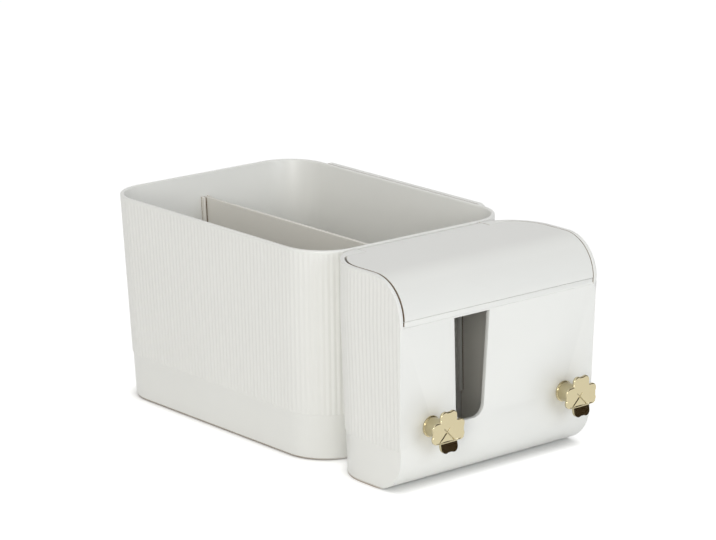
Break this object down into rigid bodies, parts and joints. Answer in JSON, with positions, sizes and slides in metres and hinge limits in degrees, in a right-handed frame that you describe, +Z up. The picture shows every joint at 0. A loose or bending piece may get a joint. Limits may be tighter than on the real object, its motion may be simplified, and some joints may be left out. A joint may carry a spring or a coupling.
{
  "type": "wall makeup organizer",
  "caption": "Open divided bin for brushes and tubes, with a hinged-lid cotton pad box on its end, a dispensing slot, clover hooks and a stick-on wall plate that it hangs from.",
  "frame": {"origin": "centre of the outline of the bin and the box seen from above, on the surface that they stand on", "axes": "+X along the wall from the bin to the box's slotted front, +Y towards the wall, +Z up"},
  "size_m": [0.2538, 0.1394, 0.1108],
  "materials": {
    "white_abs": "moulded ABS, satin",
    "champagne_gold_plating": "pale champagne gold plating, polished",
    "zinc_plated_steel": "zinc plated",
    "acrylic_foam_tape": "matt foam tape"
  },
  "bodies": {
    "bin": {"bin_shell": "white_abs"},
    "divider": {"bin_divider": "white_abs"},
    "wall_plate": {"wall_plate": "white_abs", "adhesive_strip_upper": "acrylic_foam_tape", "adhesive_strip_lower": "acrylic_foam_tape"},
    "box": {"box_shell": "white_abs", "box_partition": "white_abs", "lid_pin_left": "zinc_plated_steel", "lid_pin_right": "zinc_plated_steel", "hook_stem_left": "champagne_gold_plating", "clover_plate_left": "champagne_gold_plating", "hook_washer_left": "zinc_plated_steel", "hook_screw_left": "zinc_plated_steel", "hook_stem_right": "champagne_gold_plating", "clover_plate_right": "champagne_gold_plating", "hook_washer_right": "zinc_plated_steel", "hook_screw_right": "zinc_plated_steel"},
    "lid": {"lid": "white_abs"}
  },
  "joints": [
    {"name": "divider_lift", "type": "slide", "parent": "bin", "child": "divider", "axis": [0, 0, 1], "range_m": [0, 0.09]},
    {"name": "plate_unhook", "type": "slide", "parent": "bin", "child": "wall_plate", "axis": [0, 0, -1], "range_m": [0, 0.0055]},
    {"name": "box_unhook", "type": "slide", "parent": "bin", "child": "box", "axis": [0, 0, 1], "range_m": [0, 0.0055]},
    {"name": "lid_hinge", "type": "hinge", "parent": "box", "child": "lid", "pos_m": [0.0612, 0, 0.1083], "axis": [0, -1, 0], "range_deg": [0, 90]}
  ]
}
